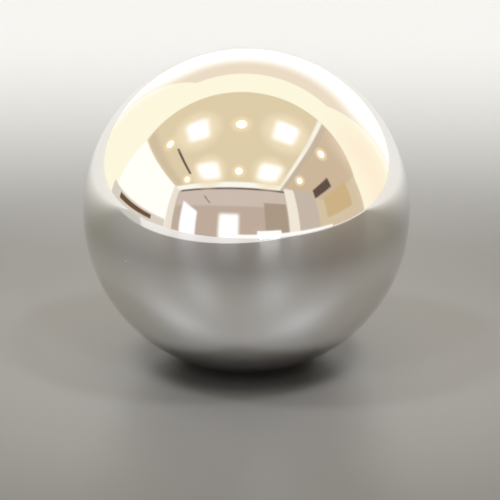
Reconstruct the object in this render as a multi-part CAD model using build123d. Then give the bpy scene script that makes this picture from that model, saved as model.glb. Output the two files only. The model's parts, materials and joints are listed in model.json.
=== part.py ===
from build123d import *
from math import radians, sqrt, tan
import os

# Ball top of an arcade joystick lever: a solid metal ball, turned in one piece, tapped and mirror polished.
# The frame is in millimetres, with +Z up along the turning axis and the origin at the centre of the seat flat.

# Driving dimensions of the ball
BALL_DIAMETER = 35.0
SEAT_DIAMETER = 12.0  # flat that lands on the lever's shoulder, measured to its sharp corner
SEAT_EDGE_RADIUS = 0.4  # round between the flat and the ball

# Driving dimensions of the tapped hole
THREAD_DIAMETER = 6.0  # major diameter of the metric thread
THREAD_PITCH = 1.0
THREAD_LENGTH = 12.0  # full thread, measured from the seat
TAP_RUN_OUT = 3.0  # plain bore beyond the full thread, for the tap's lead
DRILL_POINT_ANGLE = 118.0
COUNTERSINK_CLEARANCE = 0.3  # rim of the countersink beyond the thread's major radius
COUNTERSINK_ANGLE = 90.0

# Radii and heights that follow from them
ball_radius = BALL_DIAMETER / 2
seat_radius = SEAT_DIAMETER / 2
ball_centre = sqrt(ball_radius**2 - seat_radius**2)
ball_crown = ball_centre + ball_radius
bore_radius = (THREAD_DIAMETER - THREAD_PITCH) / 2
bore_end = THREAD_LENGTH + TAP_RUN_OUT
drill_tip = bore_end + bore_radius / tan(radians(DRILL_POINT_ANGLE / 2))
countersink_radius = THREAD_DIAMETER / 2 + COUNTERSINK_CLEARANCE
countersink_depth = (countersink_radius - bore_radius) / tan(radians(COUNTERSINK_ANGLE / 2))


def half_section() -> Sketch:
    """The turned half section: the ball's arc, its seat, and the countersunk, drilled hole."""
    with BuildSketch(Plane.XZ) as section:
        with BuildLine():
            ThreePointArc((0, ball_crown), (ball_radius, ball_centre), (seat_radius, 0))
            Polyline(
                (seat_radius, 0),
                (countersink_radius, 0),
                (bore_radius, countersink_depth),
                (bore_radius, bore_end),
                (0, drill_tip),
                (0, ball_crown),
            )
        make_face()
        seat_corner = section.vertices().group_by(Axis.Y)[0].sort_by(Axis.X)[-1]
        fillet(seat_corner, SEAT_EDGE_RADIUS)
    return section.sketch


def ball_top() -> Part:
    """The half section turned once round the axis."""
    return revolve(half_section(), axis=Axis.Z)


os.makedirs("parts", exist_ok=True)
export_step(ball_top(), "parts/ball_top.step")
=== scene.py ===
"""Looks of the ball top of a joystick lever: a solid metal ball, turned, tapped and mirror polished.

The ball is one turned piece, so one Geometry Nodes lathe makes it: it turns the half section round the
axis, cuts the metric thread into the bore and gives each turned surface its finish. The ball stands on
its seat on a satin floor, under a soft studio whose panels and flats the polish mirrors.
"""

import json
import logging
from dataclasses import dataclass
from enum import Enum
from itertools import product
from math import asin, cos, pi, radians, sin, sqrt, tan, tau
from typing import NamedTuple, Union

import bpy
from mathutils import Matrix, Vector


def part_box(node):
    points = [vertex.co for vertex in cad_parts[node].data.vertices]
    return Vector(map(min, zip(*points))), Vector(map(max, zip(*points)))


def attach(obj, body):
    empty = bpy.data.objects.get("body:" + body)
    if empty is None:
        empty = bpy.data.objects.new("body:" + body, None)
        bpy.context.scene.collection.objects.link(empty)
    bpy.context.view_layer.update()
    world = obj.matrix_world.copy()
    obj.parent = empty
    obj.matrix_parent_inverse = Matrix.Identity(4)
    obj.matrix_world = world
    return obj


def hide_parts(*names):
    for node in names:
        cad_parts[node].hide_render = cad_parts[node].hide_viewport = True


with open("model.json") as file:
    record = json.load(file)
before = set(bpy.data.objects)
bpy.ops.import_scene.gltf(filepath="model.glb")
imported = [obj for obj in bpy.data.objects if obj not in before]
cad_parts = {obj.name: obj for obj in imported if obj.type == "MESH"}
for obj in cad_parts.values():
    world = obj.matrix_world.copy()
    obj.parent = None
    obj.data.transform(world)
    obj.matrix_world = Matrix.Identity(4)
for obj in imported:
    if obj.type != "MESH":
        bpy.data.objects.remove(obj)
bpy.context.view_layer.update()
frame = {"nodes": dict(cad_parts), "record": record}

log = logging.getLogger("ball_top")

MM = 0.001
FOOT = -0.5  # lower end of the studio's wall flats, below the horizon
CARD_EDGES = ("Edge A", "Edge B", "Edge C", "Edge D")
Colour = tuple[float, float, float]
Socket = bpy.types.NodeSocket
Source = Union[Socket, float, int, bool, str, tuple, Vector]


class Wiring:
    """Adds nodes to one tree and joins them up."""

    def __init__(self, tree: bpy.types.NodeTree) -> None:
        """Keeps the tree that the nodes go into."""
        self.tree = tree

    def add(self, kind: str, inputs: dict | None = None, **settings: object) -> bpy.types.Node:
        """Adds one node.

        Args:
            kind: Blender's name for the node's type.
            inputs: what feeds each input, by the input's name or its number.
            settings: properties of the node, such as its operation.

        Returns:
            The new node.
        """
        node = self.tree.nodes.new(kind)
        for name, value in settings.items():
            setattr(node, name, value)
        for key, source in (inputs or {}).items():
            self.feed(node.inputs[key], source)
        return node

    def feed(self, target: Socket, source: Source) -> None:
        """Joins a socket to the target, or sets the target to a plain value.

        Args:
            target: the input that is fed.
            source: the socket or the plain value that feeds it.
        """
        if isinstance(source, Socket):
            self.tree.links.new(source, target)
        else:
            target.default_value = source

    def maths(self, operation: str, *sources: Source) -> Socket:
        """Works out one number with a Math node, from its inputs in order."""
        return self.add("ShaderNodeMath", dict(enumerate(sources)), operation=operation).outputs[0]

    def vector(self, operation: str, *sources: Source, output: str = "Vector") -> Socket:
        """Works out one vector, or a number where the output is "Value", with a Vector Math node."""
        node = self.add("ShaderNodeVectorMath", dict(enumerate(sources)), operation=operation)
        return node.outputs[output]

    def remap(self, value: Source, start: Source, end: Source, low: Source = 0.0, high: Source = 1.0,
              ) -> Socket:
        """Maps start..end to low..high with an eased run and clamped ends.

        Args:
            value: the number to map.
            start: where the run begins.
            end: where it ends.
            low: the result at the start and before it.
            high: the result at the end and past it.

        Returns:
            The socket that holds the result.
        """
        sources = dict(enumerate((value, start, end, low, high)))
        node = self.add("ShaderNodeMapRange", sources, interpolation_type="SMOOTHSTEP")
        return node.outputs["Result"]

    def mix(self, share: Source, first: Source, second: Source) -> Socket:
        """Mixes two colours.

        Args:
            share: how much of the second colour there is.
            first: the colour at 0.
            second: the colour at 1.

        Returns:
            The socket that holds the mixed colour.
        """
        node = self.add("ShaderNodeMix", {"Factor": share}, data_type="RGBA")
        first_colour, second_colour = [socket for socket in node.inputs if socket.type == "RGBA"]
        self.feed(first_colour, first)
        self.feed(second_colour, second)
        return next(socket for socket in node.outputs if socket.type == "RGBA")


def opaque(colour: Colour) -> tuple[float, float, float, float]:
    """Gives a colour the alpha that a colour socket asks for."""
    return (*colour, 1.0)


class Effect(Enum):
    """Surface effects and light shapes that several materials or cards share, each one node group."""

    POLISHING_HAZE = "polishing_haze"
    HAIRLINES = "hairlines"
    TURNING_RINGS = "turning_rings"
    FLAT_CARD = "flat_card"
    ROUND_LAMP = "round_lamp"


def new_group(effect: Effect, inputs: dict[str, float | tuple], outputs: tuple[str, ...],
              ) -> tuple[Wiring, dict, dict]:
    """Starts a shader node group that puts out numbers.

    Args:
        effect: which group.
        inputs: each input's default value, a number or a vector, by name.
        outputs: the outputs' names.

    Returns:
        The group's wiring, the sockets that its inputs arrive on, and the sockets that its outputs leave by.
    """
    tree = bpy.data.node_groups.new(effect.value, "ShaderNodeTree")
    for label, default in inputs.items():
        kind = "NodeSocketVector" if isinstance(default, tuple) else "NodeSocketFloat"
        socket = tree.interface.new_socket(name=label, in_out="INPUT", socket_type=kind)
        socket.default_value = default
    for label in outputs:
        tree.interface.new_socket(name=label, in_out="OUTPUT", socket_type="NodeSocketFloat")
    wiring = Wiring(tree)
    arrivals = wiring.add("NodeGroupInput").outputs
    departures = wiring.add("NodeGroupOutput").inputs
    return wiring, arrivals, departures


class Effects:
    """Builds the shared node groups and places them in materials."""

    def build(self) -> None:
        """Builds every group once."""
        self.haze()
        self.hairlines()
        self.turning_rings()
        self.flat_card()
        self.round_lamp()

    @staticmethod
    def place(wiring: Wiring, effect: Effect, inputs: dict[str, Source]) -> bpy.types.Node:
        """Places one shared group in a tree and returns its node."""
        return wiring.add("ShaderNodeGroup", inputs, node_tree=bpy.data.node_groups[effect.value])

    def haze(self) -> None:
        """Cloudy patches where the polish is a touch less clear."""
        wiring, arrivals, departures = new_group(
            Effect.POLISHING_HAZE,
            {"Position": (0.0, 0.0, 0.0), "Scale": 100.0, "Clear": 0.0, "Hazy": 1.0}, ("Value",))
        cloud_detail = 4.0
        cloud_roughness = 0.6
        cloud_edges = (0.35, 0.7)
        cloud = wiring.add("ShaderNodeTexNoise", {
            "Vector": arrivals["Position"], "Scale": arrivals["Scale"], "Detail": cloud_detail,
            "Roughness": cloud_roughness})
        value = wiring.remap(cloud.outputs["Fac"], *cloud_edges, arrivals["Clear"], arrivals["Hazy"])
        wiring.feed(departures["Value"], value)

    def hairlines(self) -> None:
        """Fine marks left by polishing: thin wandering lines on each of three slanting courses."""
        wiring, arrivals, departures = new_group(
            Effect.HAIRLINES, {"Position": (0.0, 0.0, 0.0), "Scale": 300.0, "Width": 0.02}, ("Mask",))
        courses = ((0.4, 0.9, 0.2), (-0.7, 0.3, 1.1), (1.2, -0.5, 0.6))
        stretch = (1.0, 0.06, 0.06)
        line_detail = 2.0
        line_level = 0.5
        total: Source = 0.0
        for course in courses:
            turned = wiring.add("ShaderNodeMapping", {
                "Vector": arrivals["Position"], "Rotation": course, "Scale": stretch})
            noise = wiring.add("ShaderNodeTexNoise", {
                "Vector": turned.outputs[0], "Scale": arrivals["Scale"], "Detail": line_detail})
            offset = wiring.maths("ABSOLUTE", wiring.maths("SUBTRACT", noise.outputs["Fac"], line_level))
            line = wiring.remap(offset, 0.0, arrivals["Width"], 1.0, 0.0)
            total = wiring.maths("MAXIMUM", line, total)
        wiring.feed(departures["Mask"], total)

    def turning_rings(self) -> None:
        """Rings that a lathe tool leaves round the axis, with a little waver in their depth."""
        wiring, arrivals, departures = new_group(
            Effect.TURNING_RINGS, {"Position": (0.0, 0.0, 0.0), "Feed": 0.1 * MM, "Rise": 0.0},
            ("Height", "Shade"))
        parts = wiring.add("ShaderNodeSeparateXYZ", {"Vector": arrivals["Position"]})
        flat = wiring.vector("MULTIPLY", arrivals["Position"], (1.0, 1.0, 0.0))
        radius = wiring.vector("LENGTH", flat, output="Value")
        lifted = wiring.maths("MULTIPLY_ADD", parts.outputs["Z"], arrivals["Rise"], radius)
        course = wiring.maths("DIVIDE", lifted, arrivals["Feed"])
        wave = wiring.maths("SINE", wiring.maths("MULTIPLY", course, tau))
        waver_scale = 0.37
        waver_detail = 3.0
        waver_edges = (0.2, 0.8)
        shallowest = 0.3
        ring = wiring.add("ShaderNodeTexNoise", {"W": course, "Scale": waver_scale, "Detail": waver_detail},
                          noise_dimensions="1D")
        waver = wiring.remap(ring.outputs["Fac"], *waver_edges, shallowest)
        wiring.feed(departures["Height"], wiring.maths("MULTIPLY", wave, waver))
        wiring.feed(departures["Shade"], waver)

    def flat_card(self) -> None:
        """Mask of a four-sided card, seen from the ball, from the planes through its edges."""
        inputs = {label: (0.0, 0.0, 1.0) for label in ("Direction", *CARD_EDGES)}
        wiring, arrivals, departures = new_group(Effect.FLAT_CARD, {**inputs, "Softness": 0.01}, ("Mask",))
        outside = wiring.maths("MULTIPLY", arrivals["Softness"], -1.0)
        mask: Source = 1.0
        for edge in CARD_EDGES:
            inside = wiring.vector("DOT_PRODUCT", arrivals["Direction"], arrivals[edge], output="Value")
            mask = wiring.maths("MULTIPLY", wiring.remap(inside, outside, arrivals["Softness"]), mask)
        wiring.feed(departures["Mask"], mask)

    def round_lamp(self) -> None:
        """Mask of a round lamp, seen from the ball, with a soft rim."""
        wiring, arrivals, departures = new_group(
            Effect.ROUND_LAMP,
            {"Direction": (0.0, 0.0, 1.0), "Centre": (0.0, 0.0, 1.0), "Rim": 0.999, "Core": 0.9999},
            ("Mask",))
        towards = wiring.vector("DOT_PRODUCT", arrivals["Direction"], arrivals["Centre"], output="Value")
        wiring.feed(departures["Mask"], wiring.remap(towards, arrivals["Rim"], arrivals["Core"]))


def start_material(name: str) -> tuple[bpy.types.Material, Wiring, bpy.types.Node]:
    """Starts a material with one Principled shader.

    Args:
        name: the material's name.

    Returns:
        The material, its wiring and its shader.
    """
    material = bpy.data.materials.new(name)
    material.use_nodes = True
    material.node_tree.nodes.clear()
    wiring = Wiring(material.node_tree)
    shader = wiring.add("ShaderNodeBsdfPrincipled")
    wiring.add("ShaderNodeOutputMaterial", {"Surface": shader.outputs["BSDF"]})
    return material, wiring, shader


def start_metal(name: str, edge_tint: Colour) -> tuple[bpy.types.Material, Wiring, bpy.types.Node]:
    """Starts the material of bare metal.

    Args:
        name: the material's name.
        edge_tint: the metal's tint where it is seen edge on.

    Returns:
        The material, its wiring and its shader.
    """
    material, wiring, shader = start_material(name)
    shader.inputs["Metallic"].default_value = 1.0
    shader.inputs["Specular Tint"].default_value = opaque(edge_tint)
    return material, wiring, shader


class Surface(Enum):
    """The turned surfaces of the ball top, by the finish that each one has."""

    MIRROR = 0
    TURNED = 1
    THREAD = 2


@dataclass(frozen=True)
class MirrorPolish:
    """Mirror polish of the ball: clear metal with faint haze, hairlines and one small nick."""

    colour: Colour = (0.86, 0.855, 0.845)
    edge_tint: Colour = (0.95, 0.95, 0.95)
    clear_roughness: float = 0.02
    hazy_roughness: float = 0.045
    haze_scale: float = 130.0
    hairline_roughness: float = 0.02
    hairline_scale: float = 900.0
    hairline_width: float = 0.012
    nick_way: tuple[float, float, float] = (-0.725, -0.684, -0.081)
    nick_radius: float = 0.22 * MM
    nick_depth: float = 0.03 * MM
    nick_roughness: float = 0.6

    def build(self, ball_centre: Vector, ball_radius: float) -> bpy.types.Material:
        """Builds the material.

        Args:
            ball_centre: the middle of the ball.
            ball_radius: the ball's radius.

        Returns:
            The material.
        """
        material, wiring, shader = start_metal("mirror_polish", self.edge_tint)
        shader.inputs["Base Color"].default_value = opaque(self.colour)
        place = wiring.add("ShaderNodeTexCoord").outputs["Object"]
        haze = Effects.place(wiring, Effect.POLISHING_HAZE, {
            "Position": place, "Scale": self.haze_scale, "Clear": self.clear_roughness,
            "Hazy": self.hazy_roughness})
        lines = Effects.place(wiring, Effect.HAIRLINES, {
            "Position": place, "Scale": self.hairline_scale, "Width": self.hairline_width})
        scuffed = wiring.maths("MULTIPLY_ADD", lines.outputs["Mask"], self.hairline_roughness,
                               haze.outputs["Value"])
        nick = ball_centre + Vector(self.nick_way).normalized() * ball_radius
        away = wiring.vector("DISTANCE", place, nick, output="Value")
        pit = wiring.remap(away, 0.0, self.nick_radius, 1.0, 0.0)
        worn = wiring.maths("MULTIPLY_ADD", pit, self.nick_roughness, scuffed)
        wiring.feed(shader.inputs["Roughness"], worn)
        dent = wiring.add("ShaderNodeBump", {"Distance": self.nick_depth, "Height": pit}, invert=True)
        wiring.feed(shader.inputs["Normal"], dent.outputs["Normal"])
        return material


@dataclass(frozen=True)
class MachinedMetal:
    """Bare metal with the marks that a cutting tool leaves round the axis."""

    name: str
    colour: Colour
    dark_colour: Colour
    feed: float
    haze_scale: float
    clear_roughness: float
    hazy_roughness: float
    rise: float = 0.0  # how much the height counts beside the radius
    ring_depth: float = 0.0
    ring_strength: float = 0.5
    edge_tint: Colour = (0.8, 0.8, 0.8)

    def build(self) -> bpy.types.Material:
        """Builds the material.

        Returns:
            The material.
        """
        material, wiring, shader = start_metal(self.name, self.edge_tint)
        place = wiring.add("ShaderNodeTexCoord").outputs["Object"]
        rings = Effects.place(wiring, Effect.TURNING_RINGS, {
            "Position": place, "Feed": self.feed, "Rise": self.rise})
        haze = Effects.place(wiring, Effect.POLISHING_HAZE, {
            "Position": place, "Scale": self.haze_scale, "Clear": self.clear_roughness,
            "Hazy": self.hazy_roughness})
        shade = wiring.mix(rings.outputs["Shade"], opaque(self.dark_colour), opaque(self.colour))
        wiring.feed(shader.inputs["Base Color"], shade)
        wiring.feed(shader.inputs["Roughness"], haze.outputs["Value"])
        if self.ring_depth:
            bump = wiring.add("ShaderNodeBump", {
                "Strength": self.ring_strength, "Distance": self.ring_depth,
                "Height": rings.outputs["Height"]})
            wiring.feed(shader.inputs["Normal"], bump.outputs["Normal"])
        return material


@dataclass(frozen=True)
class TurnedFace(MachinedMetal):
    """Turned finish of the seat and the countersink: fine rings round the axis."""

    name: str = "turned_face"
    colour: Colour = (0.60, 0.59, 0.575)
    dark_colour: Colour = (0.47, 0.46, 0.445)
    feed: float = 0.11 * MM
    haze_scale: float = 400.0
    clear_roughness: float = 0.2
    hazy_roughness: float = 0.34
    ring_depth: float = 0.004 * MM


@dataclass(frozen=True)
class CutThread(MachinedMetal):
    """Machined finish of the tapped hole: duller metal with drag marks of the drill and the tap."""

    name: str = "cut_thread"
    colour: Colour = (0.50, 0.485, 0.465)
    dark_colour: Colour = (0.33, 0.32, 0.305)
    feed: float = 0.07 * MM
    haze_scale: float = 900.0
    clear_roughness: float = 0.28
    hazy_roughness: float = 0.45
    rise: float = 1.0


class SectionPoint(NamedTuple):
    """One point of the turned half section."""

    radius: float
    height: float
    surface: Surface  # the surface that starts here
    groove_share: float = 0.0  # share of the thread's full depth
    crease: bool = False  # whether the section has a sharp corner here


@dataclass
class BallTop:
    """The ball top: ball, seat, countersink and tapped hole in one turned piece, in metres."""

    ball_radius: float
    crown: float
    bore_radius: float
    bore_start: float
    bore_end: float
    seat_edge_radius: float = 0.4 * MM
    drill_point_angle: float = radians(118)
    thread_pitch: float = 1.0 * MM
    thread_length: float = 12.0 * MM
    thread_flank_angle: float = radians(30)
    thread_root_share: float = 1 / 8
    segments: int = 180
    rows_per_pitch: int = 16
    ball_row_angle: float = radians(1.5)
    drill_rows: int = 10
    seat_rows: int = 12
    edge_rows: int = 8
    weld_distance: float = 0.001 * MM

    @classmethod
    def from_frame(cls) -> "BallTop":
        """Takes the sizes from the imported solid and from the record's threaded mount.

        Returns:
            The ball top in the frame's sizes.
        """
        vertices = frame["nodes"]["ball_top"].data.vertices
        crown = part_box("ball_top")[1].z
        widest = max((vertex.co for vertex in vertices), key=lambda point: point.xy.length)
        drop = crown - widest.z
        ball_radius = (widest.xy.length_squared + drop**2) / (2 * drop)
        mount = next(item for item in frame["record"]["mounts"] if item["name"] == "lever_thread")
        half_length = mount["dims"]["length_mm"] * MM / 2
        middle = mount["pos_m"][2]
        bore_radius = mount["dims"]["r_mm"] * MM
        return cls(ball_radius, crown, bore_radius, middle - half_length, middle + half_length)

    @property
    def centre(self) -> Vector:
        """The middle of the ball."""
        return Vector((0.0, 0.0, self.crown - self.ball_radius))

    @property
    def groove_depth(self) -> float:
        """Depth of the thread's groove, from the bore to the major diameter."""
        return self.thread_pitch / 2

    def section(self) -> list[SectionPoint]:
        """Draws the half section from the drill's tip, down the bore, over the seat and up to the crown."""
        return [*self.drill_point(), *self.bore(), *self.countersink(), *self.seat(), *self.ball()]

    def drill_point(self) -> list[SectionPoint]:
        """Draws the cone that the drill leaves at the end of the hole.

        Returns:
            The points from the drill's tip to just before the bore.
        """
        tip = self.bore_end + self.bore_radius / tan(self.drill_point_angle / 2)
        shares = [row / self.drill_rows for row in range(self.drill_rows)]
        return [
            SectionPoint(self.bore_radius * share, tip + (self.bore_end - tip) * share, Surface.THREAD)
            for share in shares
        ]

    def bore(self) -> list[SectionPoint]:
        """Draws the bore, with the thread fading out over the tap's lead.

        Returns:
            The points from the end of the bore down to just before the countersink.
        """
        length = self.bore_end - self.bore_start
        rows = round(length / self.thread_pitch * self.rows_per_pitch)
        points = []
        for row in range(rows):
            height = self.bore_end - length * row / rows
            lead = (self.bore_end - height) / (self.bore_end - self.thread_length)
            points.append(SectionPoint(self.bore_radius, height, Surface.THREAD, min(lead, 1.0), row == 0))
        return points

    def countersink(self) -> list[SectionPoint]:
        """Draws the countersink, which the thread runs out into, at half a right angle.

        Returns:
            The points from the bore to just before the countersink's rim.
        """
        rows = round(self.bore_start / self.thread_pitch * self.rows_per_pitch)
        points = []
        for row in range(rows):
            fall = self.bore_start * row / rows
            points.append(SectionPoint(self.bore_radius + fall, self.bore_start - fall, Surface.TURNED, 1.0))
        return points

    def seat(self) -> list[SectionPoint]:
        """Draws the flat that lands on the lever's shoulder, and the round at its edge.

        Returns:
            The points from the countersink's rim to where the round meets the ball.
        """
        rim = self.bore_radius + self.bore_start
        flat = self.flat_radius()
        points = []
        for row in range(self.seat_rows):
            radius = rim + (flat - rim) * row / self.seat_rows
            points.append(SectionPoint(radius, 0.0, Surface.TURNED, crease=row == 0))
        sweep = self.edge_sweep()
        for row in range(self.edge_rows):
            angle = sweep * row / self.edge_rows
            radius = flat + self.seat_edge_radius * sin(angle)
            height = self.seat_edge_radius * (1 - cos(angle))
            points.append(SectionPoint(radius, height, Surface.MIRROR))
        return points

    def ball(self) -> list[SectionPoint]:
        """Draws the ball's arc, from the seat's round to the crown.

        Returns:
            The arc's points, with the last one on the axis.
        """
        low = self.edge_sweep()
        rows = round((pi - low) / self.ball_row_angle)
        points = []
        for row in range(rows + 1):
            angle = low + (pi - low) * row / rows
            radius = self.ball_radius * sin(angle) if row < rows else 0.0
            height = self.centre.z - self.ball_radius * cos(angle)
            points.append(SectionPoint(radius, height, Surface.MIRROR))
        return points

    def flat_radius(self) -> float:
        """Radius of the seat's true flat, inside the round at its edge."""
        inner = self.ball_radius - self.seat_edge_radius
        return sqrt(inner**2 - (self.centre.z - self.seat_edge_radius) ** 2)

    def edge_sweep(self) -> float:
        """Angle of the round between the seat's flat and the ball."""
        return asin(self.flat_radius() / (self.ball_radius - self.seat_edge_radius))

    def section_mesh(self) -> bpy.types.Mesh:
        """Makes the half section a line of vertices that carry the lathe's attributes.

        Returns:
            The section's mesh.
        """
        points = self.section()
        mesh = bpy.data.meshes.new("half_section")
        edges = [(index, index + 1) for index in range(len(points) - 1)]
        mesh.from_pydata([(point.radius, 0.0, point.height) for point in points], edges, [])
        columns = {
            "surface": ("INT", [point.surface.value for point in points]),
            "groove_share": ("FLOAT", [point.groove_share for point in points]),
            "crease": ("BOOLEAN", [point.crease for point in points]),
        }
        for name, (kind, values) in columns.items():
            mesh.attributes.new(name, kind, "POINT").data.foreach_set("value", values)
        return mesh

    def lathe(self) -> bpy.types.NodeTree:
        """Builds the Geometry Nodes lathe that turns the section and cuts the thread.

        Returns:
            The node tree, with named inputs for the sizes and the finishes.
        """
        tree = bpy.data.node_groups.new("turning_lathe", "GeometryNodeTree")
        sockets = {"Section": "Geometry", "Segments": "Int", "Pitch": "Float", "Groove Depth": "Float",
                   "Groove Root": "Float", "Flank Slope": "Float", "Bore Radius": "Float",
                   "Weld Distance": "Float"}
        sockets.update({self.finish_label(surface): "Material" for surface in Surface})
        for name, kind in sockets.items():
            tree.interface.new_socket(name=name, in_out="INPUT", socket_type=f"NodeSocket{kind}")
        tree.interface.new_socket(name="Piece", in_out="OUTPUT", socket_type="NodeSocketGeometry")
        wiring = Wiring(tree)
        sizes = wiring.add("NodeGroupInput").outputs
        grid, row, turn = self.blank(wiring, sizes)
        turned = self.turn_and_thread(wiring, sizes, grid, row, turn)
        dressed = self.creases_and_finishes(wiring, sizes, turned, row)
        wiring.add("NodeGroupOutput", {"Piece": dressed})
        return tree

    @staticmethod
    def finish_label(surface: Surface) -> str:
        """Names the lathe's input for one finish."""
        return f"{surface.name.title()} Finish"

    @staticmethod
    def sample(wiring: Wiring, sizes: dict, row: Source, attribute: str, kind: str) -> Socket:
        """Reads one attribute of the section at a row.

        Args:
            wiring: the lathe's wiring.
            sizes: the lathe's inputs.
            row: which point of the section.
            attribute: the attribute's name, or "position".
            kind: its data type.

        Returns:
            The socket that holds the value.
        """
        if attribute == "position":
            value = wiring.add("GeometryNodeInputPosition").outputs[0]
        else:
            named = wiring.add("GeometryNodeInputNamedAttribute", {"Name": attribute}, data_type=kind)
            value = named.outputs[0]
        node = wiring.add("GeometryNodeSampleIndex", {
            "Geometry": sizes["Section"], "Value": value, "Index": row}, data_type=kind)
        return node.outputs["Value"]

    @staticmethod
    def blank(wiring: Wiring, sizes: dict) -> tuple:
        """Lays out the grid that is turned: one column a segment, one row a point of the section.

        Args:
            wiring: the lathe's wiring.
            sizes: the lathe's inputs.

        Returns:
            The grid's mesh, each vertex's row, and the share of a turn that it stands at.
        """
        count = wiring.add("GeometryNodeAttributeDomainSize", {"Geometry": sizes["Section"]})
        rows = count.outputs["Point Count"]
        columns = wiring.maths("ADD", sizes["Segments"], 1.0)
        grid = wiring.add("GeometryNodeMeshGrid", {"Vertices X": columns, "Vertices Y": rows})
        index = wiring.add("GeometryNodeInputIndex").outputs[0]
        row = wiring.maths("MODULO", index, rows)
        column = wiring.maths("FLOOR", wiring.maths("DIVIDE", index, rows))
        turn = wiring.maths("DIVIDE", column, sizes["Segments"])
        return grid.outputs["Mesh"], row, turn

    def turn_and_thread(self, wiring: Wiring, sizes: dict, grid: Source, row: Source, turn: Source,
                        ) -> Socket:
        """Turns the grid round the axis and cuts the right-hand thread into the bore.

        Args:
            wiring: the lathe's wiring.
            sizes: the lathe's inputs.
            grid: the blank grid.
            row: each vertex's row.
            turn: the share of a turn that each vertex stands at.

        Returns:
            The socket that holds the turned mesh.
        """
        place = wiring.add("ShaderNodeSeparateXYZ",
                           {"Vector": self.sample(wiring, sizes, row, "position", "FLOAT_VECTOR")})
        share = self.sample(wiring, sizes, row, "groove_share", "FLOAT")
        pitches = wiring.maths("SUBTRACT", wiring.maths("DIVIDE", place.outputs["Z"], sizes["Pitch"]), turn)
        nearest = wiring.maths("SUBTRACT", pitches, wiring.maths("ROUND", pitches))
        offset = wiring.maths("MULTIPLY", wiring.maths("ABSOLUTE", nearest), sizes["Pitch"])
        half_root = wiring.maths("DIVIDE", sizes["Groove Root"], 2.0)
        past_root = wiring.maths("DIVIDE", wiring.maths("SUBTRACT", offset, half_root), sizes["Flank Slope"])
        flank = wiring.maths("SUBTRACT", sizes["Groove Depth"], past_root)
        limit = wiring.maths("MULTIPLY", sizes["Groove Depth"], share)
        depth = wiring.maths("MAXIMUM", wiring.maths("MINIMUM", flank, limit), 0.0)
        groove = wiring.maths("ADD", sizes["Bore Radius"], depth)
        is_threaded = wiring.maths("GREATER_THAN", share, 0.0)
        cut = wiring.maths("MULTIPLY", groove, is_threaded)
        radius = wiring.maths("MAXIMUM", place.outputs["X"], cut)
        angle = wiring.maths("MULTIPLY", turn, tau)
        position = wiring.add("ShaderNodeCombineXYZ", {
            "X": wiring.maths("MULTIPLY", radius, wiring.maths("COSINE", angle)),
            "Y": wiring.maths("MULTIPLY", radius, wiring.maths("SINE", angle)),
            "Z": place.outputs["Z"]})
        moved = wiring.add("GeometryNodeSetPosition", {"Geometry": grid, "Position": position.outputs[0]})
        return moved.outputs["Geometry"]

    def creases_and_finishes(self, wiring: Wiring, sizes: dict, turned: Source, row: Source,
                             ) -> Socket:
        """Marks the turned corners sharp, gives each surface its finish and welds the seam and the poles.

        Args:
            wiring: the lathe's wiring.
            sizes: the lathe's inputs.
            turned: the turned mesh.
            row: each vertex's row.

        Returns:
            The socket that holds the finished mesh.
        """
        crease = self.sample(wiring, sizes, row, "crease", "BOOLEAN")
        geometry = wiring.add("GeometryNodeStoreNamedAttribute", {
            "Geometry": turned, "Name": "corner", "Value": crease}, data_type="BOOLEAN", domain="POINT")
        count = wiring.add("GeometryNodeAttributeDomainSize", {"Geometry": sizes["Section"]})
        strips = wiring.maths("SUBTRACT", count.outputs["Point Count"], 1.0)
        strip = wiring.maths("MODULO", wiring.add("GeometryNodeInputIndex").outputs[0], strips)
        number = self.sample(wiring, sizes, strip, "surface", "INT")
        geometry = wiring.add("GeometryNodeStoreNamedAttribute", {
            "Geometry": geometry.outputs[0], "Name": "finish", "Value": number,
        }, data_type="INT", domain="FACE")
        geometry = wiring.add("GeometryNodeMergeByDistance", {
            "Geometry": geometry.outputs[0], "Distance": sizes["Weld Distance"]})
        geometry = wiring.add("GeometryNodeSetShadeSmooth", {"Geometry": geometry.outputs[0]}, domain="FACE")
        corner = wiring.add("GeometryNodeInputNamedAttribute", {"Name": "corner"}, data_type="BOOLEAN")
        geometry = wiring.add("GeometryNodeSetShadeSmooth", {
            "Geometry": geometry.outputs[0], "Selection": corner.outputs[0], "Shade Smooth": False,
        }, domain="EDGE")
        geometry = wiring.add("GeometryNodeRealizeInstances", {"Geometry": geometry.outputs[0]})
        finish = wiring.add("GeometryNodeInputNamedAttribute", {"Name": "finish"}, data_type="INT")
        whole_a, whole_b = 2, 3  # the Compare node's inputs for whole numbers
        for surface in Surface:
            match = wiring.add("FunctionNodeCompare", {whole_a: finish.outputs[0], whole_b: surface.value},
                               data_type="INT", operation="EQUAL")
            geometry = wiring.add("GeometryNodeSetMaterial", {
                "Geometry": geometry.outputs[0], "Selection": match.outputs[0],
                "Material": sizes[self.finish_label(surface)]})
        return geometry.outputs[0]

    def dress(self) -> dict[Surface, bpy.types.Material]:
        """Builds the finish of each surface.

        Returns:
            The materials, by surface.
        """
        return {
            Surface.MIRROR: MirrorPolish().build(self.centre, self.ball_radius),
            Surface.TURNED: TurnedFace().build(),
            Surface.THREAD: CutThread().build(),
        }

    def lathe_values(self) -> dict[str, object]:
        """Gathers the sizes and the finishes that the lathe works with.

        Returns:
            The values, by the names of the lathe's inputs.
        """
        values = {
            "Segments": self.segments,
            "Pitch": self.thread_pitch,
            "Groove Depth": self.groove_depth,
            "Groove Root": self.thread_pitch * self.thread_root_share,
            "Flank Slope": tan(self.thread_flank_angle),
            "Bore Radius": self.bore_radius,
            "Weld Distance": self.weld_distance,
        }
        values.update({self.finish_label(surface): finish for surface, finish in self.dress().items()})
        return values

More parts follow.
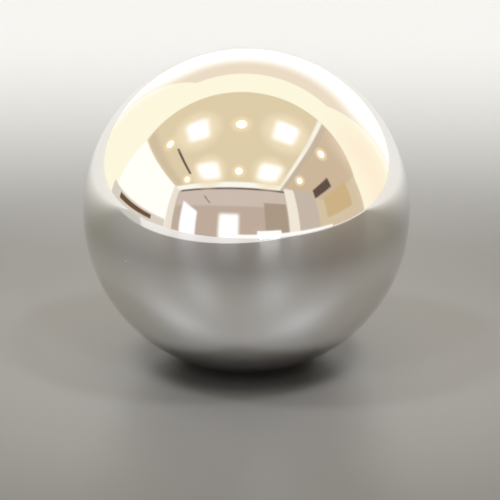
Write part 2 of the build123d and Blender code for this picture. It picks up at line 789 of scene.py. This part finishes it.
    def turned_mesh(self) -> bpy.types.Mesh:
        """Runs the lathe on the half section.

        Returns:
            The turned piece as a plain mesh.
        """
        section = self.section_mesh()
        blank = bpy.data.objects.new("half_section", section)
        bpy.context.scene.collection.objects.link(blank)
        lathe = self.lathe()
        modifier = blank.modifiers.new("lathe", "NODES")
        modifier.node_group = lathe
        values = self.lathe_values()
        for item in lathe.interface.items_tree:
            if item.in_out == "INPUT" and item.name in values:
                modifier[item.identifier] = values[item.name]
        evaluated = blank.evaluated_get(bpy.context.evaluated_depsgraph_get())
        mesh = bpy.data.meshes.new_from_object(evaluated)
        mesh.name = "polished_ball"
        mesh.materials.pop(index=0)  # the grid's empty slot
        blank.modifiers.remove(modifier)
        bpy.data.objects.remove(blank)
        bpy.data.meshes.remove(section)
        return mesh

    def build(self) -> bpy.types.Object:
        """Turns the piece and puts it in the frame.

        Returns:
            The finished piece.
        """
        mesh = self.turned_mesh()
        piece = bpy.data.objects.new("polished_ball", mesh)
        bpy.context.scene.collection.objects.link(piece)
        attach(piece, "root")
        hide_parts("ball_top")
        log.info("polished_ball: %d faces, ball radius %.2f mm", len(mesh.polygons), self.ball_radius / MM)
        return piece


@dataclass
class SatinFloor:
    """A wide satin floor, grey round the ball with painted shade and light, pale farther off, clear from
    below.
    """

    size: float = 40.0
    # painted shadow: the floor is darker right under the ball
    painted_shadow_colour: Colour = (0.045, 0.044, 0.045)
    # painted light: a paler ring round the ball, fading out to the grey farther off
    near_colour: Colour = (0.166, 0.164, 0.164)
    grey_colour: Colour = (0.062, 0.061, 0.062)
    pale_colour: Colour = (0.54, 0.55, 0.58)
    near_grade: tuple[float, float] = (0.0095, 0.0140)  # from the axis, where the painted shadow under the ball gives way to the near colour
    grey_grade: tuple[float, float] = (0.016, 0.060)  # from the axis, where the ring of painted light fades to grey
    far_grade: tuple[float, float] = (1.1, 1.7)  # from the axis
    edge_way: tuple[float, float, float] = (-0.766, -0.643, 0.0)  # square to the pale part's straight edge
    edge_grade: tuple[float, float] = (0.217, 0.257)  # along that way
    left_way: tuple[float, float, float] = (0.174, -0.985, 0.0)  # from the left side to the front
    left_grade: tuple[float, float] = (0.010, 0.035)  # along that way
    left_share: float = 0.45  # how much of the pale part's colour the left side has
    back_grade: tuple[float, float] = (0.020, 0.115)  # behind the axis
    roughness: float = 0.44
    refraction: float = 1.9
    gap: float = 0.002 * MM

    def material(self) -> bpy.types.Material:
        """Builds the floor's material: painted shade and light round the ball, grey, pale behind it and past
        a straight edge.

        Returns:
            The material.
        """
        material, wiring, shader = start_material("satin_floor")
        place = wiring.add("ShaderNodeTexCoord").outputs["Object"]
        depth = wiring.add("ShaderNodeSeparateXYZ", {"Vector": place}).outputs["Y"]
        reach = wiring.vector("LENGTH", place, output="Value")
        # painted shadow under the ball, fading out into the near colour
        out_of_painted_shadow = wiring.remap(reach, *self.near_grade)
        colour = wiring.mix(out_of_painted_shadow, opaque(self.painted_shadow_colour), opaque(self.near_colour))
        # the ring of painted light round the ball fades to the grey farther off
        greying = wiring.remap(reach, *self.grey_grade)
        colour = wiring.mix(greying, colour, opaque(self.grey_colour))
        past_edge = wiring.vector("DOT_PRODUCT", place, self.edge_way, output="Value")
        past_left = wiring.vector("DOT_PRODUCT", place, self.left_way, output="Value")
        beyond = wiring.maths("MAXIMUM", wiring.remap(past_edge, *self.edge_grade),
                              wiring.remap(reach, *self.far_grade))
        far_off = wiring.maths("MULTIPLY", beyond,
                               wiring.remap(past_left, *self.left_grade, self.left_share))
        behind = wiring.remap(depth, *self.back_grade)
        paling = wiring.maths("MAXIMUM", far_off, behind)
        wiring.feed(shader.inputs["Base Color"], wiring.mix(paling, colour, opaque(self.pale_colour)))
        shader.inputs["Roughness"].default_value = self.roughness
        shader.inputs["IOR"].default_value = self.refraction
        below = wiring.add("ShaderNodeNewGeometry").outputs["Backfacing"]
        wiring.feed(shader.inputs["Alpha"], wiring.maths("SUBTRACT", 1.0, below))
        return material

    def build(self) -> bpy.types.Object:
        """Lays the floor just under the seat.

        Returns:
            The floor's object.
        """
        half = self.size / 2
        mesh = bpy.data.meshes.new("floor")
        outline = ((-half, -half), (half, -half), (half, half), (-half, half))
        mesh.from_pydata([(x, y, -self.gap) for x, y in outline], [], [(0, 1, 2, 3)])
        mesh.materials.append(self.material())
        floor = bpy.data.objects.new("floor", mesh)
        bpy.context.scene.collection.objects.link(floor)
        log.info("floor: %.0f m wide", self.size)
        return floor


class Side(Enum):
    """Where a flat of the studio stands, as the ways out to it, across it and along it."""

    ABOVE = ((0, 0, 1), (1, 0, 0), (0, 1, 0))
    FRONT = ((0, -1, 0), (1, 0, 0), (0, 0, 1))
    BACK = ((0, 1, 0), (1, 0, 0), (0, 0, 1))
    LEFT = ((-1, 0, 0), (0, 1, 0), (0, 0, 1))
    RIGHT = ((1, 0, 0), (0, 1, 0), (0, 0, 1))


@dataclass(frozen=True)
class Card:
    """A named four-sided flat of one brightness, at unit distance from the ball on one side of it.

    Overhead, across runs to the right and along runs to the back. On a wall, across runs to the right,
    or to the back on the left and right walls, and along runs up.
    """

    name: str
    side: Side
    across: tuple[float, float]
    along: tuple[float, float]
    light: Colour
    softness: float = 0.012

    def edges(self) -> list[Vector]:
        """Works out the planes through the ball and each edge.

        Returns:
            Four normals, of unit length, that point into the card.
        """
        out, across, along = [Vector(way) for way in self.side.value]
        normals = [
            across - out * self.across[0],
            out * self.across[1] - across,
            along - out * self.along[0],
            out * self.along[1] - along,
        ]
        return [normal.normalized() for normal in normals]

    def mask(self, wiring: Wiring, way: Source) -> Socket:
        """Masks the card.

        Args:
            wiring: the world's wiring.
            way: the ray's direction in the studio.

        Returns:
            The socket that holds the mask.
        """
        inputs = {"Direction": way, "Softness": self.softness, **dict(zip(CARD_EDGES, self.edges()))}
        node = Effects.place(wiring, Effect.FLAT_CARD, inputs)
        node.label = self.name
        return node.outputs["Mask"]


@dataclass(frozen=True)
class Lamp:
    """A round light or glow on the ceiling, brightest within its core and fading out at its rim."""

    column: float
    row: float
    core: float
    rim: float
    light: Colour

    def mask(self, wiring: Wiring, way: Source) -> Socket:
        """Masks the lamp.

        Args:
            wiring: the world's wiring.
            way: the ray's direction in the studio.

        Returns:
            The socket that holds the mask.
        """
        centre = Vector((self.column, self.row, 1.0))
        node = Effects.place(wiring, Effect.ROUND_LAMP, {
            "Direction": way, "Centre": centre.normalized(), "Rim": cos(self.rim / centre.length),
            "Core": cos(self.core / centre.length)})
        return node.outputs["Mask"]


@dataclass
class Studio:
    """Soft studio light: a warm ceiling with square panels and round spots, over pale flats.

    The ball mirrors all of it, so it stands in the world shader, where every ray meets the same room.
    """

    turn: float = radians(5.1)
    wall_light: Colour = (0.772, 0.632, 0.437)
    panel_rows: tuple[float, ...] = (-0.925, -0.14)
    panel_columns: tuple[float, ...] = (-0.55, 0.47)
    panel_halves: tuple[float, ...] = (0.18, 0.14)
    panel_softness: float = 0.055
    panel_rim_light: Colour = (1.38, 1.36, 1.30)
    core_half: float = 0.085
    core_softness: float = 0.02
    panel_lights: tuple[Colour, ...] = ((44.0, 47.5, 52.5), (43.0, 46.0, 51.0))
    low_lamp_light: Colour = (40.0, 40.5, 41.0)
    low_board_light: Colour = (1.18, 1.18, 1.14)
    glow_light: Colour = (1.02, 0.87, 0.61)
    glow_reach: tuple[float, float] = (0.10, 0.36)
    spot_places: tuple[tuple[float, float], ...] = ((-1.11, -1.06), (-0.04, -0.94), (1.16, -0.94),
                                                    (-1.06, -0.14), (-0.04, -0.14), (1.16, -0.14))
    spot_light: Colour = (4.0, 3.6, 2.9)
    spot_reach: tuple[float, float] = (0.015, 0.065)
    spot_glow_light: Colour = (1.02, 0.82, 0.51)
    spot_glow_reach: tuple[float, float] = (0.05, 0.14)

    def flats(self) -> list[Card]:
        """Lists the flats.

        Returns:
            The flats' cards, in the order that they are painted.
        """
        return [
            Card("ceiling", Side.ABOVE, (-1.62, 0.80), (-1.23, 0.38), (0.85, 0.71, 0.47)),
            Card("ceiling edge", Side.ABOVE, (-1.62, -1.28), (-1.23, 0.38), (0.74, 0.60, 0.41), 0.05),
            Card("ceiling slot", Side.ABOVE, (-0.97, -0.915), (-0.92, -0.30), (0.16, 0.13, 0.11), 0.006),
            Card("front beam", Side.ABOVE, (-1.62, 1.01), (-1.43, -1.23), (1.12, 1.09, 1.0)),
            Card("right beam", Side.ABOVE, (0.80, 0.88), (-1.23, 0.38), (1.11, 1.07, 0.95)),
            Card("beam side", Side.ABOVE, (0.88, 1.01), (-1.43, 0.38), (0.65, 0.54, 0.41)),
            Card("side ceiling", Side.ABOVE, (1.01, 3.0), (-1.43, 0.38), (0.71, 0.55, 0.38)),
            Card("cream wall", Side.BACK, (-9.0, 9.0), (FOOT, 2.63), (1.14, 1.09, 0.86)),
            Card("warm wall", Side.RIGHT, (0.25, 0.80), (FOOT, 0.80), (1.15, 0.99, 0.765), 0.25),
            Card("arch", Side.BACK, (-0.65, 0.97), (FOOT, 1.136), (0.97, 0.835, 0.66)),
            Card("behind arch", Side.BACK, (-0.65, 0.97), (FOOT, 0.585), (1.30, 1.28, 1.21), 0.15),
            Card("white wall", Side.LEFT, (-0.883, 0.235), (FOOT, 0.617), (1.21, 1.19, 1.11)),
            Card("post", Side.LEFT, (-0.883, -0.73), (FOOT, 0.617), (0.97, 0.88, 0.75)),
            Card("low front", Side.LEFT, (-0.72, 0.32), (FOOT, 0.10), (0.80, 0.73, 0.63)),
            # a dark line of painted shadow along the foot of the low front
            Card("low slot", Side.LEFT, (-0.45, 0.13), (0.03, 0.078), (0.17, 0.095, 0.05), 0.006),
            Card("far wall", Side.FRONT, (-1.133, 0.706), (FOOT, 0.70), (0.60, 0.475, 0.385)),
            Card("far ceiling", Side.FRONT, (-1.133, 0.706), (0.41, 0.70), (0.70, 0.59, 0.51), 0.02),
            Card("far slot", Side.ABOVE, (-0.96, -0.92), (-2.25, -1.77), (0.20, 0.16, 0.14), 0.01),
            Card("far door", Side.FRONT, (0.33, 0.69), (FOOT, 0.47), (0.47, 0.37, 0.28)),
            Card("beam shadow", Side.FRONT, (-1.08, 0.88), (0.67, 0.705), (0.20, 0.155, 0.125), 0.008),
            Card("left window", Side.LEFT, (-1.66, -1.08), (FOOT, 0.525), (1.24, 1.22, 1.24), 0.02),
            Card("middle window", Side.FRONT, (-0.26, -0.01), (FOOT, 0.30), (1.25, 1.24, 1.21), 0.035),
            Card("right post", Side.FRONT, (0.71, 0.93), (FOOT, 0.76), (1.02, 0.94, 0.82)),
            Card("side wall", Side.FRONT, (0.93, 1.6), (FOOT, 0.78), (0.65, 0.55, 0.465)),
            Card("warm board", Side.RIGHT, (-0.48, -0.06), (0.11, 0.36), (0.71, 0.52, 0.28)),
            Card("dark board", Side.RIGHT, (-0.62, -0.28), (0.42, 0.55), (0.135, 0.093, 0.07)),
            Card("low strip", Side.FRONT, (-0.1, 2.4), (FOOT, 0.045), self.low_board_light),
            Card("low board", Side.FRONT, (0.22, 0.56), (FOOT, 0.088), self.low_board_light),
            Card("low lamp", Side.FRONT, (0.25, 0.52), (FOOT, 0.050), self.low_lamp_light),
        ]

    def panels(self) -> list[Card]:
        """Lists the square panels of the ceiling, each a pale soft-edged square round a bright core.

        Returns:
            The panels' cards, front row first.
        """
        cards = []
        for row, half, light in zip(self.panel_rows, self.panel_halves, self.panel_lights):
            for column in self.panel_columns:
                place = (column, row)
                rim = self.square("panel", place, half, self.panel_rim_light, self.panel_softness)
                core = self.square("panel core", place, self.core_half, light, self.core_softness)
                cards.extend((rim, core))
        return cards

    @staticmethod
    def square(name: str, place: tuple[float, float], half: float, light: Colour, softness: float) -> Card:
        """Makes a square card on the ceiling, from its middle and half its width."""
        across, along = [(middle - half, middle + half) for middle in place]
        return Card(name, Side.ABOVE, across, along, light, softness)

    def glows(self) -> list[Lamp]:
        """Lists the soft glows round the panels and the spots.

        Returns:
            The glows, as lamps.
        """
        panels = product(self.panel_columns, self.panel_rows)
        panel_glows = [Lamp(*place, *self.glow_reach, self.glow_light) for place in panels]
        spot_glows = [Lamp(*place, *self.spot_glow_reach, self.spot_glow_light)
                      for place in self.spot_places]
        return panel_glows + spot_glows

    def spots(self) -> list[Lamp]:
        """Lists the round spots between the panels."""
        return [Lamp(*place, *self.spot_reach, self.spot_light) for place in self.spot_places]

    def build(self) -> None:
        """Paints the flats, the glows, the panels and the spots into the world."""
        world = bpy.data.worlds.new("studio")
        bpy.context.scene.world = world
        world.use_nodes = True
        world.node_tree.nodes.clear()
        wiring = Wiring(world.node_tree)
        ray = wiring.add("ShaderNodeTexCoord").outputs["Generated"]
        way = wiring.add("ShaderNodeVectorRotate", {"Vector": ray, "Angle": self.turn},
                         rotation_type="Z_AXIS").outputs[0]
        light: Source = opaque(self.wall_light)
        shapes = [*self.flats(), *self.glows(), *self.panels(), *self.spots()]
        for shape in shapes:
            light = wiring.mix(shape.mask(wiring, way), light, opaque(shape.light))
        background = wiring.add("ShaderNodeBackground", {"Color": light, "Strength": 1.0})
        wiring.add("ShaderNodeOutputWorld", {"Surface": background.outputs[0]})
        log.info("studio: %d shapes of light", len(shapes))


@dataclass
class PhotoCamera:
    """Camera at the photograph's viewing angle, with the ball where the photograph has it."""

    elevation: float = radians(20)
    distance: float = 0.58
    image_size: float = 500.0
    ball_centre_px: tuple[float, float] = (246.56, 210.25)
    ball_radius_px: float = 163.52
    sensor_mm: float = 36.0
    nearest: float = 0.01

    def build(self, ball: BallTop) -> bpy.types.Object:
        """Aims the camera so that the ball's outline falls on the photograph's circle.

        Args:
            ball: the ball that is looked at.

        Returns:
            The camera.
        """
        rise = sin(self.elevation)
        level = cos(self.elevation)
        to_camera = Vector((0.0, -level, rise))
        picture_right = Vector((1.0, 0.0, 0.0))
        picture_up = Vector((0.0, rise, level))
        focal_px = self.ball_radius_px * sqrt(self.distance**2 - ball.ball_radius**2) / ball.ball_radius
        scale = self.distance / focal_px
        right_px = self.image_size / 2 - self.ball_centre_px[0]
        down_px = self.image_size / 2 - self.ball_centre_px[1]
        aim = ball.centre + picture_right * right_px * scale - picture_up * down_px * scale
        data = bpy.data.cameras.new("photo_camera")
        data.sensor_width = self.sensor_mm
        data.lens = self.sensor_mm * focal_px / self.image_size
        data.clip_start = self.nearest
        camera = bpy.data.objects.new("photo_camera", data)
        camera.location = aim + to_camera * self.distance
        camera.rotation_euler = (-to_camera).to_track_quat("-Z", "Y").to_euler()
        bpy.context.scene.collection.objects.link(camera)
        bpy.context.scene.camera = camera
        log.info("camera: lens %.0f mm, %.2f m away", data.lens, self.distance)
        return camera


def main() -> None:
    """Builds the ball top, its stage, its light and its camera, in that order."""
    logging.basicConfig(level=logging.INFO, format="%(name)s: %(message)s")
    bpy.context.scene.view_settings.view_transform = "Standard"
    Effects().build()
    ball = BallTop.from_frame()
    ball.build()
    SatinFloor().build()
    Studio().build()
    PhotoCamera().build(ball)


if __name__ == "__main__":
    main()
